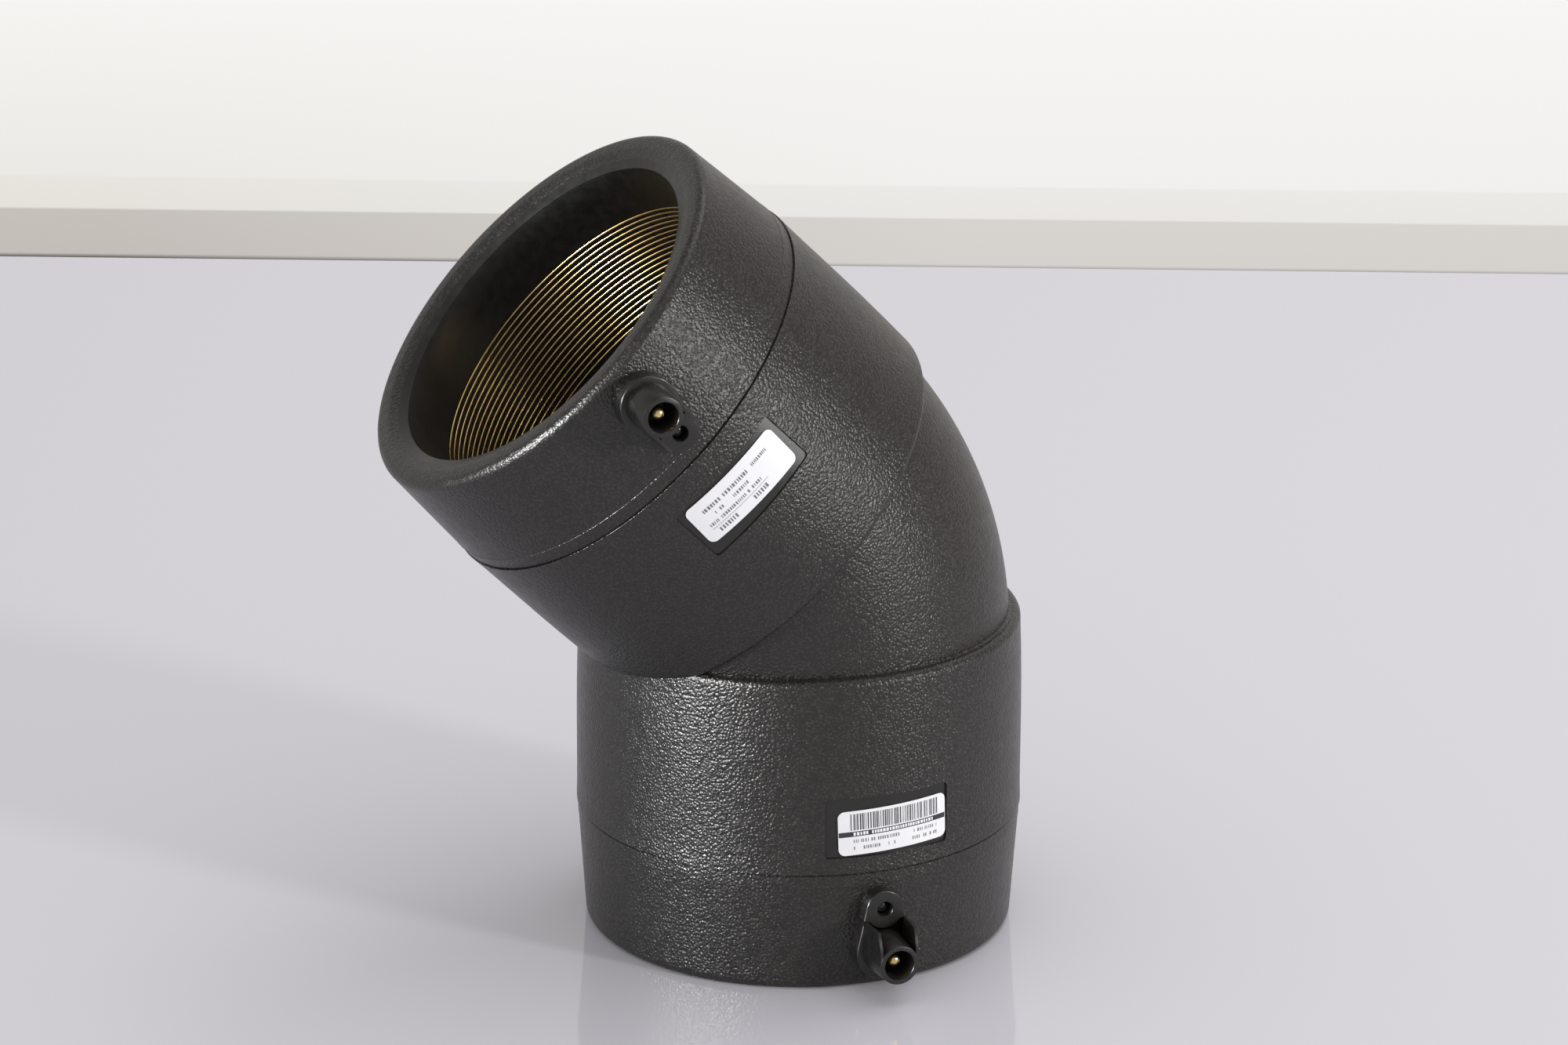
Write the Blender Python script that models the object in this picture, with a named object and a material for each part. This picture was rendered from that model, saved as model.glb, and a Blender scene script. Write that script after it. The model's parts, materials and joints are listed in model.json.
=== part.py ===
"""Electrofusion elbow for 110 mm polyethylene pipe, bent 45 degrees, standing on its lower mouth.

One black moulding carries two pipe sockets, the bend between them, and a terminal at each mouth.
A bare heating wire lines both sockets: it starts at one terminal pin, is wound through the lower
socket, crosses the bend inside the wall, is wound through the upper socket and ends at the other pin.
Each terminal pad also holds a fusion indicator, and each sleeve carries a label in a shallow recess.

Lengths are metres and +Z is up. A socket has its own frame: its origin is the middle of the mouth,
+Z runs along the bore into the fitting, and -Y is the side of the terminal.
"""
import math

import bmesh
import bpy
from mathutils import Matrix, Vector

# Bend
BEND_ANGLE = math.radians(45)
CORNER_HEIGHT = 0.12275       # from a mouth to the point where the two axes meet
BEND_RADIUS = 0.0700          # of the curved centreline between the sleeves
BEND_WALL = 0.0155
BEND_ROOT = 0.0100            # how far the bend's own body reaches into each sleeve
BEND_STEPS = 6

# Bore
BORE_RADIUS = 0.0556          # takes a pipe 110 mm across
SOCKET_DEPTH = 0.0820         # from the mouth to the pipe stop
STOP_HEIGHT = 0.0051          # how far the pipe stop stands into the bore
STOP_LENGTH = 0.0030
LEAD_IN_WIDTH = 0.0022
LEAD_IN_DEPTH = 0.0018
BORE_SEGMENTS = 48

# Sleeve: wall thickness outside the bore, and depth from the mouth
SLEEVE_LENGTH = 0.1022
MOUTH_WALL = 0.0120
RING_WALL = 0.0143
BODY_WALL = 0.0146
SHOULDER_WALL = 0.0139
RIM_DISH_WIDTH = 0.0028
RIM_DISH_DEPTH = 0.0009
RIM_ROUND = 0.0030
WITNESS_DEPTH = 0.0346        # the faint mould line below the ring
WITNESS_STEP = 0.00012
RING_DEPTH = 0.0391           # the sharp step that rings the sleeve
RING_STEP = 0.00045
RING_FADE = 0.0060            # the ring runs out over this length
BODY_DEPTH = 0.0700           # past here the sleeve narrows to its shoulder
SHOULDER_ROUND = 0.0023
SHOULDER_FILLET = 0.0016      # in the corner between the shoulder and the bend
ROUND_STEPS = 3
SLEEVE_SEGMENTS = 60

# Heating wire
WIRE_DIAMETER = 0.0010
WIRE_PROUD = 0.00015          # how far the wire stands out of the bore
FIRST_TURN_DEPTH = 0.0212
PITCH = 0.00196
TURNS = 18
WIRE_CORNER = 0.0010          # radius where the winding turns into its lead
WIRE_STEPS_PER_TURN = 24
WIRE_SIDES = 3
WIRE_CLEARANCE = 0.0003       # round the winding, in its recess
CHANNEL_CLEARANCE = 0.00035   # round the leads and the link, in their channels
LEAD_OVERLAP = 0.0012         # the lead runs this far past the middle of its pin

# Terminal
TERMINAL_DEPTH = 0.0138       # from the mouth to the middle of the pin
PAD_RISE = 0.0041             # the pad's face stands this far out of the sleeve
PAD_LARGE_RADIUS = 0.0091
PAD_SMALL_RADIUS = 0.0061
PAD_EDGE = 0.0004
INDICATOR_SPACING = 0.0139    # from the pin to the fusion indicator
SHROUD_HEIGHT = 0.0123        # above the pad
SHROUD_TIP_RADIUS = 0.0063
SHROUD_DRAFT = 0.0008         # how much wider the shroud is at the pad than at its tip
SHROUD_BORE_RADIUS = 0.00475
SHROUD_BORE_DEPTH = 0.0120
SHROUD_SEGMENTS = 32
WEB_THICKNESS = 0.0009
WEB_LENGTH = 0.0108           # from the middle of the shroud to the end of the webs
WEB_END_DROP = 0.0022         # the webs' ends stop this far short of the tip
WEB_SLOPE_START = 0.0052      # from the middle of the shroud to where the webs' tops slope down
WELL_DEPTH = 0.0045           # of the hollow between the webs, below the pad
WELL_GAP = 0.0035             # from the well's far corners to the middle of the indicator
ROOT_DEPTH = 0.0070           # pads, shrouds and webs grow out of the wall from this far down
PIN_RADIUS = 0.0020
PIN_TIP_BELOW = 0.0032        # below the shroud's tip
INDICATOR_HOLE_RADIUS = 0.00245
INDICATOR_HOLE_DEPTH = 0.0080
INDICATOR_BELOW = 0.0020      # the indicator's top lies this far below the pad
PIECE_CLEARANCE = 0.0003      # between a fitted piece and its seat
PIECE_SEGMENTS = 18
ARC_STEPS = 8

# Labels and their recesses
RECESS_WIDTH = 0.0414
RECESS_HEIGHT = 0.0195
RECESS_DEPTH = 0.0006
RECESS_CORNER = 0.0012
LABEL_WIDTH = 0.0368
LABEL_HEIGHT = 0.0145
LABEL_CORNER = 0.0022
LABEL_THICKNESS = 0.0002
LABEL_STRIP = math.radians(4)
CORNER_STEPS = 4
RECESS_PLACES = {"lower": (0.0028, 0.05425), "upper": (0.0006, 0.0584)}   # round the sleeve, depth
LABEL_PLACES = {"lower": (0.0046, 0.0530), "upper": (0.0004, 0.0576)}
LABEL_TURNS = {"lower": math.radians(2.0), "upper": math.radians(3.2)}

# Sizes that follow from those above
PAST = 0.0020                 # how far a cutter runs past the face that it cuts
WATERWAY_RADIUS = BORE_RADIUS - STOP_HEIGHT
BEND_OUTER_RADIUS = WATERWAY_RADIUS + BEND_WALL
MOUTH_RADIUS = BORE_RADIUS + MOUTH_WALL
RING_RADIUS = BORE_RADIUS + RING_WALL
BODY_RADIUS = BORE_RADIUS + BODY_WALL
SHOULDER_RADIUS = BORE_RADIUS + SHOULDER_WALL
WIRE_RADIUS = WIRE_DIAMETER / 2
COIL_RADIUS = BORE_RADIUS - WIRE_PROUD + WIRE_RADIUS
RECESSED_BORE_RADIUS = COIL_RADIUS + WIRE_RADIUS + WIRE_CLEARANCE
LAST_TURN_DEPTH = FIRST_TURN_DEPTH + TURNS * PITCH
STRAIGHT_LENGTH = CORNER_HEIGHT - BEND_RADIUS * math.tan(BEND_ANGLE / 2)
CENTRELINE_LENGTH = 2 * STRAIGHT_LENGTH + BEND_RADIUS * BEND_ANGLE
PAD_PLANE = RING_RADIUS + PAD_RISE
SHROUD_TIP_PLANE = PAD_PLANE + SHROUD_HEIGHT
SHROUD_FLOOR_PLANE = SHROUD_TIP_PLANE - SHROUD_BORE_DEPTH
PIN_HOLE_FLOOR = COIL_RADIUS + WIRE_RADIUS
INDICATOR_DEPTH = TERMINAL_DEPTH + INDICATOR_SPACING
TERMINAL_SIDE = -math.pi / 2  # the angle round the centreline at which the terminals stand

# The frame's origin is the middle of the fitting's footprint box
LEAN = math.sin(BEND_ANGLE)
REACH_OUT = RING_RADIUS + RING_STEP
REACH_BACK = (
    (CORNER_HEIGHT - RIM_ROUND) * LEAN + (MOUTH_RADIUS - RIM_ROUND) * math.cos(BEND_ANGLE) + RIM_ROUND
)
AXIS_X = (REACH_BACK - REACH_OUT) / 2
AXIS_Y = (SHROUD_TIP_PLANE - REACH_OUT) / 2


def clear_scene():
    for item in list(bpy.data.objects):
        bpy.data.objects.remove(item, do_unlink=True)


def make_material(name, colour, roughness, metallic=0.0):
    material = bpy.data.materials.new(name)
    material.use_nodes = True
    shader = material.node_tree.nodes["Principled BSDF"]
    shader.inputs["Base Color"].default_value = (*colour, 1.0)
    shader.inputs["Roughness"].default_value = roughness
    shader.inputs["Metallic"].default_value = metallic
    material.diffuse_color = (*colour, 1.0)
    return material


def make_object(name, mesh_builder, parent, material=None):
    """Turn a bmesh into a named object under its parent, shaded smooth with its corners kept sharp."""
    bmesh.ops.recalc_face_normals(mesh_builder, faces=mesh_builder.faces[:])
    if mesh_builder.calc_volume(signed=True) < 0:
        bmesh.ops.reverse_faces(mesh_builder, faces=mesh_builder.faces[:])
    mesh = bpy.data.meshes.new(name)
    mesh_builder.to_mesh(mesh)
    mesh_builder.free()
    mesh.shade_smooth()
    mesh.set_sharp_from_angle(angle=math.radians(32))
    if material:
        mesh.materials.append(material)
    item = bpy.data.objects.new(name, mesh)
    item.parent = parent
    bpy.context.scene.collection.objects.link(item)
    return item


def make_empty(name, parent=None, location=(0, 0, 0), rotation=(0, 0, 0)):
    item = bpy.data.objects.new(name, None)
    item.parent = parent
    item.location = location
    item.rotation_euler = rotation
    bpy.context.scene.collection.objects.link(item)
    return item


def boolean(body, other, operation):
    """Join another shape to the body, or cut it away. The other shape stays as a wire guide."""
    modifier = body.modifiers.new(other.name, "BOOLEAN")
    modifier.operation = operation
    modifier.solver = "EXACT"
    modifier.object = other
    other.hide_render = True
    other.display_type = "WIRE"


def loft(rings):
    """A closed solid through a row of rings that have as many points each."""
    builder = bmesh.new()
    rows = [[builder.verts.new(point) for point in ring] for ring in rings]
    count = len(rows[0])
    for row, following in zip(rows, rows[1:]):
        for i in range(count):
            j = (i + 1) % count
            builder.faces.new((row[i], row[j], following[j], following[i]))
    builder.faces.new(rows[0][::-1])
    builder.faces.new(rows[-1])
    return builder


def circle(radius, height, segments, phase=0.0):
    steps = [2 * math.pi * (i + phase) / segments for i in range(segments)]
    return [Vector((radius * math.cos(a), radius * math.sin(a), height)) for a in steps]


def turned(profile, segments, phase=0.0):
    """A solid turned about Z from the radius and height of each point of its outline."""
    return loft([circle(radius, height, segments, phase) for radius, height in profile])


def arc_points(centre, radius, start, end, steps):
    """Points of an arc in an outline of radius and height, both ends included."""
    angles = [start + (end - start) * i / steps for i in range(steps + 1)]
    return [(centre[0] + radius * math.cos(a), centre[1] + radius * math.sin(a)) for a in angles]


def centreline(distance):
    """Where the fitting's centreline is, that far from the lower mouth, and which way is outwards."""
    turn = (distance - STRAIGHT_LENGTH) / BEND_RADIUS
    turn = min(max(turn, 0.0), BEND_ANGLE)
    outwards = Vector((math.cos(turn), 0, math.sin(turn)))
    along = Vector((-math.sin(turn), 0, math.cos(turn)))
    straight_run = distance - STRAIGHT_LENGTH - turn * BEND_RADIUS
    pivot = Vector((-BEND_RADIUS, 0, STRAIGHT_LENGTH))
    return pivot + outwards * BEND_RADIUS + along * straight_run, outwards


def round_centreline(distance, angle, radius):
    """A point beside the centreline, and the unit vector that points from the centreline to it."""
    centre, outwards = centreline(distance)
    away = outwards * math.cos(angle) + Vector((0, math.sin(angle), 0))
    return centre + away * radius, away


def bend_distances(steps):
    """Distances along the centreline from one end of the curve to the other."""
    length = BEND_RADIUS * BEND_ANGLE
    return [STRAIGHT_LENGTH + length * i / steps for i in range(steps + 1)]


def sleeve_profile():
    """The outside of a sleeve, from just inside its rim to just inside the bend."""
    lead_in_radius = BORE_RADIUS + LEAD_IN_WIDTH
    rim_round = arc_points(
        (MOUTH_RADIUS - RIM_ROUND, RIM_ROUND), RIM_ROUND, -math.pi / 2, 0, ROUND_STEPS
    )
    shoulder_round = arc_points(
        (SHOULDER_RADIUS - SHOULDER_ROUND, SLEEVE_LENGTH - SHOULDER_ROUND), SHOULDER_ROUND,
        0, math.pi / 2, ROUND_STEPS,
    )
    fillet = arc_points(
        (BEND_OUTER_RADIUS + SHOULDER_FILLET / 2, SLEEVE_LENGTH + SHOULDER_FILLET), SHOULDER_FILLET,
        -math.pi / 2, -math.pi, ROUND_STEPS,
    )
    return [
        (lead_in_radius - PAST, RIM_DISH_DEPTH * (1 + PAST / RIM_DISH_WIDTH)),
        (lead_in_radius + RIM_DISH_WIDTH, 0),
        *rim_round,
        (RING_RADIUS - WITNESS_STEP, WITNESS_DEPTH),
        (RING_RADIUS, WITNESS_DEPTH + WITNESS_STEP),
        (RING_RADIUS, RING_DEPTH),
        (RING_RADIUS + RING_STEP, RING_DEPTH + RING_STEP / 2),
        (BODY_RADIUS, RING_DEPTH + RING_FADE),
        (BODY_RADIUS, BODY_DEPTH),
        *shoulder_round,
        *fillet,
    ]


def sleeve(name, socket, phase):
    """A sleeve. The phase, a share of one segment, keeps the two sleeves' edges off each other."""
    return make_object(name, turned(sleeve_profile(), SLEEVE_SEGMENTS, phase), socket)


def bend_outside(fitting):
    """The outside of the bend, less the part near its pivot, which lies inside the two sleeves."""
    clip = BEND_RADIUS - PAST
    limit = math.acos(-clip / BEND_OUTER_RADIUS) if clip < BEND_OUTER_RADIUS else math.pi
    segments = round(SLEEVE_SEGMENTS * limit / math.pi)
    angles = [-limit + 2 * limit * i / segments for i in range(segments + 1)]
    if limit == math.pi:
        angles.pop()
    root = min(STRAIGHT_LENGTH, SLEEVE_LENGTH) - BEND_ROOT
    distances = [root, *bend_distances(BEND_STEPS), CENTRELINE_LENGTH - root]
    rings = [[round_centreline(d, a, BEND_OUTER_RADIUS)[0] for a in angles] for d in distances]
    return make_object("bend_outside", loft(rings), fitting)


def bore_profile():
    """The radius and depth of the bore, from outside the mouth to the start of the waterway."""
    slope = LEAD_IN_WIDTH / LEAD_IN_DEPTH
    edge_radius = BORE_RADIUS + LEAD_IN_WIDTH
    reach = WIRE_RADIUS + WIRE_CORNER
    return [
        (edge_radius + (RIM_DISH_DEPTH + PAST) * slope, -PAST),
        (BORE_RADIUS, RIM_DISH_DEPTH + LEAD_IN_DEPTH),
        (BORE_RADIUS, FIRST_TURN_DEPTH - reach),
        (RECESSED_BORE_RADIUS, FIRST_TURN_DEPTH - reach),
        (RECESSED_BORE_RADIUS, LAST_TURN_DEPTH + reach),
        (BORE_RADIUS, LAST_TURN_DEPTH + reach),
        (BORE_RADIUS, SOCKET_DEPTH),
        (WATERWAY_RADIUS, SOCKET_DEPTH + STOP_LENGTH),
    ]


def bore(fitting):
    """Everything that is hollow from mouth to mouth, as one cutter along the centreline."""
    mouth = bore_profile()
    stations = [(distance, radius) for radius, distance in mouth]
    stations += [(distance, WATERWAY_RADIUS) for distance in bend_distances(BEND_STEPS)]
    stations += [(CENTRELINE_LENGTH - distance, radius) for radius, distance in reversed(mouth)]
    angles = [2 * math.pi * i / BORE_SEGMENTS for i in range(BORE_SEGMENTS)]
    rings = [[round_centreline(d, a, radius)[0] for a in angles] for d, radius in stations]
    return make_object("bore", loft(rings), fitting)


def pad_outline(shrink):
    """The pad seen from outside: a large round end at the pin and a small one at the indicator."""
    large = PAD_LARGE_RADIUS - shrink
    small = PAD_SMALL_RADIUS - shrink
    tangent = math.asin((large - small) / INDICATOR_SPACING)
    half = PIECE_SEGMENTS // 2
    points = []
    for i in range(half + 1):
        a = math.pi - tangent + (math.pi + 2 * tangent) * i / half
        points.append((large * math.cos(a), TERMINAL_DEPTH + large * math.sin(a)))
    for i in range(half + 1):
        a = tangent + (math.pi - 2 * tangent) * i / half
        points.append((small * math.cos(a), INDICATOR_DEPTH + small * math.sin(a)))
    return points


def pad(name, socket):
    """The raised flat pad under a terminal, with a small chamfer round its face."""
    levels = [(0, RING_RADIUS - ROOT_DEPTH), (0, PAD_PLANE - PAD_EDGE), (PAD_EDGE, PAD_PLANE)]
    rings = [[Vector((x, -level, z)) for x, z in pad_outline(shrink)] for shrink, level in levels]
    return make_object(name, loft(rings), socket)


def upright(profile, depth, segments):
    """A solid turned about the line that stands out from the socket at this depth, towards -Y."""
    builder = turned(profile, segments)
    bmesh.ops.transform(
        builder, matrix=Matrix.Translation((0, 0, depth)) @ Matrix.Rotation(math.pi / 2, 4, "X"),
        verts=builder.verts[:],
    )
    return builder


def shroud_radius(level):
    """The outer radius of a shroud, which tapers from the pad to its tip."""
    return SHROUD_TIP_RADIUS + SHROUD_DRAFT * (SHROUD_TIP_PLANE - level) / SHROUD_HEIGHT


def shroud(name, socket):
    root = RING_RADIUS - ROOT_DEPTH
    edge = SHROUD_TIP_PLANE - PAD_EDGE
    profile = [
        (shroud_radius(root), root),
        (shroud_radius(edge), edge),
        (SHROUD_TIP_RADIUS - PAD_EDGE / 2, SHROUD_TIP_PLANE),
    ]
    return make_object(name, upright(profile, TERMINAL_DEPTH, SHROUD_SEGMENTS), socket)


def web(name, socket, side):
    """One of the two thin walls that run from a shroud's flanks to either side of the indicator."""
    root = RING_RADIUS - ROOT_DEPTH
    slope_low = SHROUD_TIP_PLANE - WEB_END_DROP
    corners = [
        (root, 0), (root, WEB_LENGTH), (slope_low, WEB_LENGTH),
        (SHROUD_TIP_PLANE - PAD_EDGE, WEB_SLOPE_START), (SHROUD_TIP_PLANE - PAD_EDGE, 0),
    ]
    rings = []
    for inset in (0, WEB_THICKNESS):
        rings.append([
            Vector((side * (shroud_radius(level) - inset), -level, TERMINAL_DEPTH + along))
            for level, along in corners
        ])
    return make_object(name, loft(rings), socket)


def well(name, socket):
    """The hollow between the webs. Its far wall is the round boss that stands about the indicator."""
    side = shroud_radius(PAD_PLANE) - WEB_THICKNESS / 2
    end = INDICATOR_DEPTH - WELL_GAP
    start = math.asin(WELL_GAP / PAD_SMALL_RADIUS)
    outline = [(-side, end), (-side, TERMINAL_DEPTH), (side, TERMINAL_DEPTH), (side, end)]
    for i in range(ARC_STEPS + 1):
        a = -start - (math.pi - 2 * start) * i / ARC_STEPS
        outline.append((PAD_SMALL_RADIUS * math.cos(a), INDICATOR_DEPTH + PAD_SMALL_RADIUS * math.sin(a)))
    levels = (PAD_PLANE - WELL_DEPTH, PAD_PLANE + PAST)
    return make_object(name, loft([[Vector((x, -level, z)) for x, z in outline] for level in levels]), socket)


def shroud_bore(name, socket):
    """The hollow of a shroud, and the hole through which its pin reaches the heating wire."""
    hole = PIN_RADIUS + PIECE_CLEARANCE
    profile = [
        (hole, PIN_HOLE_FLOOR), (hole, SHROUD_FLOOR_PLANE), (SHROUD_BORE_RADIUS, SHROUD_FLOOR_PLANE),
        (SHROUD_BORE_RADIUS, SHROUD_TIP_PLANE + PAST),
    ]
    return make_object(name, upright(profile, TERMINAL_DEPTH, PIECE_SEGMENTS), socket)


def indicator_hole(name, socket):
    floor = PAD_PLANE - INDICATOR_HOLE_DEPTH
    profile = [(INDICATOR_HOLE_RADIUS, floor), (INDICATOR_HOLE_RADIUS, PAD_PLANE + PAST)]
    return make_object(name, upright(profile, INDICATOR_DEPTH, PIECE_SEGMENTS), socket)


def domed_profile(radius, foot, tip, dome):
    """The outline of a pin that ends in a dome of this height."""
    points = [(radius, foot), (radius, tip - dome)]
    for i in (1, 2, 3):
        a = math.pi / 2 * i / 4
        points.append((radius * math.cos(a), tip - dome + dome * math.sin(a)))
    return points


def terminal_pin(name, socket, material):
    """A brass pin that stands in its shroud and whose foot meets the heating wire."""
    foot = PIN_HOLE_FLOOR + PIECE_CLEARANCE
    profile = domed_profile(PIN_RADIUS, foot, SHROUD_TIP_PLANE - PIN_TIP_BELOW, PIN_RADIUS * 0.8)
    return make_object(name, upright(profile, TERMINAL_DEPTH, PIECE_SEGMENTS), socket, material)


def fusion_indicator(name, socket, material):
    """The small domed pin that melted plastic pushes up when the joint has fused."""
    radius = INDICATOR_HOLE_RADIUS - PIECE_CLEARANCE
    foot = PAD_PLANE - INDICATOR_HOLE_DEPTH + PIECE_CLEARANCE
    profile = domed_profile(radius, foot, PAD_PLANE - INDICATOR_BELOW, radius * 0.7)
    return make_object(name, upright(profile, INDICATOR_DEPTH, PIECE_SEGMENTS), socket, material)


def rounded_rectangle(width, height, corner):
    points = []
    for quarter, (sx, sy) in enumerate([(1, 1), (-1, 1), (-1, -1), (1, -1)]):
        for i in range(CORNER_STEPS + 1):
            a = math.pi / 2 * (quarter + i / CORNER_STEPS)
            x = sx * (width / 2 - corner) + corner * math.cos(a)
            y = sy * (height / 2 - corner) + corner * math.sin(a)
            points.append((x, y))
    return points


def curved_plate(outline, place, turn, radius, thickness):
    """A plate that follows the sleeve: a flat outline, cut in strips, thickened and then wrapped round."""
    builder = bmesh.new()
    c, s = math.cos(turn), math.sin(turn)
    corners = [(place[0] + c * x - s * y, place[1] + s * x + c * y) for x, y in outline]
    builder.faces.new([builder.verts.new((x, y, 0)) for x, y in corners])
    strip = LABEL_STRIP * radius
    low = min(x for x, _ in corners)
    high = max(x for x, _ in corners)
    for i in range(math.ceil(low / strip), math.ceil(high / strip)):
        geometry = builder.verts[:] + builder.edges[:] + builder.faces[:]
        bmesh.ops.bisect_plane(builder, geom=geometry, plane_co=(i * strip, 0, 0), plane_no=(1, 0, 0))
    result = bmesh.ops.extrude_face_region(builder, geom=builder.faces[:])
    for vertex in result["geom"]:
        if isinstance(vertex, bmesh.types.BMVert):
            vertex.co.z = thickness
    for vertex in builder.verts:
        angle = vertex.co.x / radius
        distance = radius + vertex.co.z
        vertex.co = (distance * math.sin(angle), -distance * math.cos(angle), vertex.co.y)
    return builder


def recess(name, socket, place):
    outline = rounded_rectangle(RECESS_WIDTH, RECESS_HEIGHT, RECESS_CORNER)
    floor = BODY_RADIUS - RECESS_DEPTH
    return make_object(name, curved_plate(outline, place, 0, floor, RECESS_DEPTH + PAST), socket)


def label(name, socket, place, turn, material):
    outline = rounded_rectangle(LABEL_WIDTH, LABEL_HEIGHT, LABEL_CORNER)
    seat = BODY_RADIUS - RECESS_DEPTH + PIECE_CLEARANCE
    plate = curved_plate(outline, place, turn, seat, LABEL_THICKNESS)
    return make_object(name, plate, socket, material)


def winding(start_depth, first_angle):
    """The distance and angle of each point of one winding, with a rounded corner at either end."""
    corner_angle = WIRE_CORNER / COIL_RADIUS
    end_depth = start_depth + TURNS * PITCH
    full = 2 * math.pi * TURNS
    quarter = [math.pi / 2 * i / 3 for i in range(4)]
    entry = [
        (start_depth - WIRE_CORNER + WIRE_CORNER * math.sin(a), corner_angle * (1 - math.cos(a)))
        for a in quarter
    ]
    steps = TURNS * WIRE_STEPS_PER_TURN
    turns = [(start_depth + TURNS * PITCH * i / steps, full * i / steps) for i in range(1, steps)]
    leave = [
        (end_depth + WIRE_CORNER - WIRE_CORNER * math.sin(a), full - corner_angle * (1 - math.cos(a)))
        for a in reversed(quarter)
    ]
    return [(distance, first_angle + angle) for distance, angle in entry + turns + leave]


def wire_route():
    """Distance along the centreline and angle round it, from one terminal pin to the other."""
    second_start = CENTRELINE_LENGTH - LAST_TURN_DEPTH
    route = [(TERMINAL_DEPTH - LEAD_OVERLAP, TERMINAL_SIDE)]
    route += winding(FIRST_TURN_DEPTH, TERMINAL_SIDE)
    route += [(distance, TERMINAL_SIDE) for distance in bend_distances(BEND_STEPS)]
    route += winding(second_start, TERMINAL_SIDE)
    route.append((CENTRELINE_LENGTH - TERMINAL_DEPTH + LEAD_OVERLAP, TERMINAL_SIDE))
    return route


def swept(route, half_width, sides):
    """A solid of even section along a route beside the centreline, with one corner facing outwards."""
    points = [round_centreline(distance, angle, COIL_RADIUS) for distance, angle in route]
    corners = [2 * math.pi * i / sides for i in range(sides)]
    rings = []
    for i, (point, away) in enumerate(points):
        before = points[max(i - 1, 0)][0]
        after = points[min(i + 1, len(points) - 1)][0]
        across = (after - before).normalized().cross(away).normalized()
        rings.append([
            point + (away * math.cos(a) + across * math.sin(a)) * half_width for a in corners
        ])
    return loft(rings)


def heating_wire(fitting, material):
    return make_object("heating_wire", swept(wire_route(), WIRE_RADIUS, WIRE_SIDES), fitting, material)


def wire_channel(name, fitting, distances):
    """A square channel for a straight or bent run of the wire, on the terminals' side."""
    half_width = (WIRE_RADIUS + CHANNEL_CLEARANCE) * math.sqrt(2)
    points = [round_centreline(distance, TERMINAL_SIDE, COIL_RADIUS) for distance in distances]
    rings = []
    for distance, (point, away) in zip(distances, points):
        outwards = centreline(distance)[1]
        rings.append([
            point + (away * math.cos(a) + outwards * math.sin(a)) * half_width
            for a in (math.pi / 4, 3 * math.pi / 4, 5 * math.pi / 4, 7 * math.pi / 4)
        ])
    return make_object(name, loft(rings), fitting)


def wire_channels(fitting):
    """The two leads' channels, and the channel that links the windings through the bend's wall."""
    lead = [TERMINAL_DEPTH - LEAD_OVERLAP - CHANNEL_CLEARANCE, FIRST_TURN_DEPTH]
    link = [LAST_TURN_DEPTH, *bend_distances(BEND_STEPS), CENTRELINE_LENGTH - LAST_TURN_DEPTH]
    far_lead = [CENTRELINE_LENGTH - distance for distance in reversed(lead)]
    return [
        wire_channel("lead_channel_lower", fitting, lead),
        wire_channel("link_channel", fitting, link),
        wire_channel("lead_channel_upper", fitting, far_lead),
    ]


def elbow_body(fitting, sockets, material):
    """The moulding: two sleeves, the bend, the terminal pads, shrouds and webs, less all its hollows."""
    body = sleeve("elbow_body", sockets["lower"], 0.0)
    body.data.materials.append(material)
    boolean(body, sleeve("sleeve_upper", sockets["upper"], 0.5), "UNION")
    boolean(body, bend_outside(fitting), "UNION")
    for which, socket in sockets.items():
        boolean(body, pad("pad_" + which, socket), "UNION")
        boolean(body, well("well_" + which, socket), "DIFFERENCE")
        boolean(body, shroud("shroud_" + which, socket), "UNION")
        boolean(body, web("web_left_" + which, socket, -1), "UNION")
        boolean(body, web("web_right_" + which, socket, 1), "UNION")
    boolean(body, bore(fitting), "DIFFERENCE")
    for channel in wire_channels(fitting):
        boolean(body, channel, "DIFFERENCE")
    for which, socket in sockets.items():
        boolean(body, shroud_bore("shroud_bore_" + which, socket), "DIFFERENCE")
        boolean(body, indicator_hole("indicator_hole_" + which, socket), "DIFFERENCE")
        boolean(body, recess("recess_" + which, socket, side_place(RECESS_PLACES, which)), "DIFFERENCE")
    return body


def side_place(places, which):
    """A place on a sleeve. The upper socket's +X points to the inside of the bend, so it is reversed."""
    across, depth = places[which]
    return (across if which == "lower" else -across, depth)


def build():
    clear_scene()
    black = make_material("black_polyethylene", (0.016, 0.016, 0.017), 0.45)
    smooth_black = make_material("indicator_black", (0.010, 0.010, 0.010), 0.22)
    brass = make_material("terminal_brass", (0.80, 0.60, 0.28), 0.25, 1.0)
    wire_metal = make_material("wire_metal", (0.78, 0.60, 0.30), 0.28, 1.0)
    white = make_material("label_white", (0.86, 0.86, 0.87), 0.35)

    fitting = make_empty("fitting", location=(AXIS_X, AXIS_Y, 0))
    far_mouth = centreline(CENTRELINE_LENGTH)[0]
    sockets = {
        "lower": make_empty("lower_socket", fitting),
        "upper": make_empty("upper_socket", fitting, far_mouth, (0, math.pi - BEND_ANGLE, 0)),
    }
    elbow_body(fitting, sockets, black)
    heating_wire(fitting, wire_metal)
    for which, socket in sockets.items():
        terminal_pin("terminal_pin_" + which, socket, brass)
        fusion_indicator("fusion_indicator_" + which, socket, smooth_black)
        turn = LABEL_TURNS[which] if which == "lower" else -LABEL_TURNS[which]
        label("label_" + which, socket, side_place(LABEL_PLACES, which), turn, white)


build()
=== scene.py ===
"""The looks of the electrofusion elbow: fine solids, materials, floor, light and camera."""
import json
import math
import random

import bmesh
import bpy
import numpy as np
from mathutils import Matrix, Vector

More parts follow.
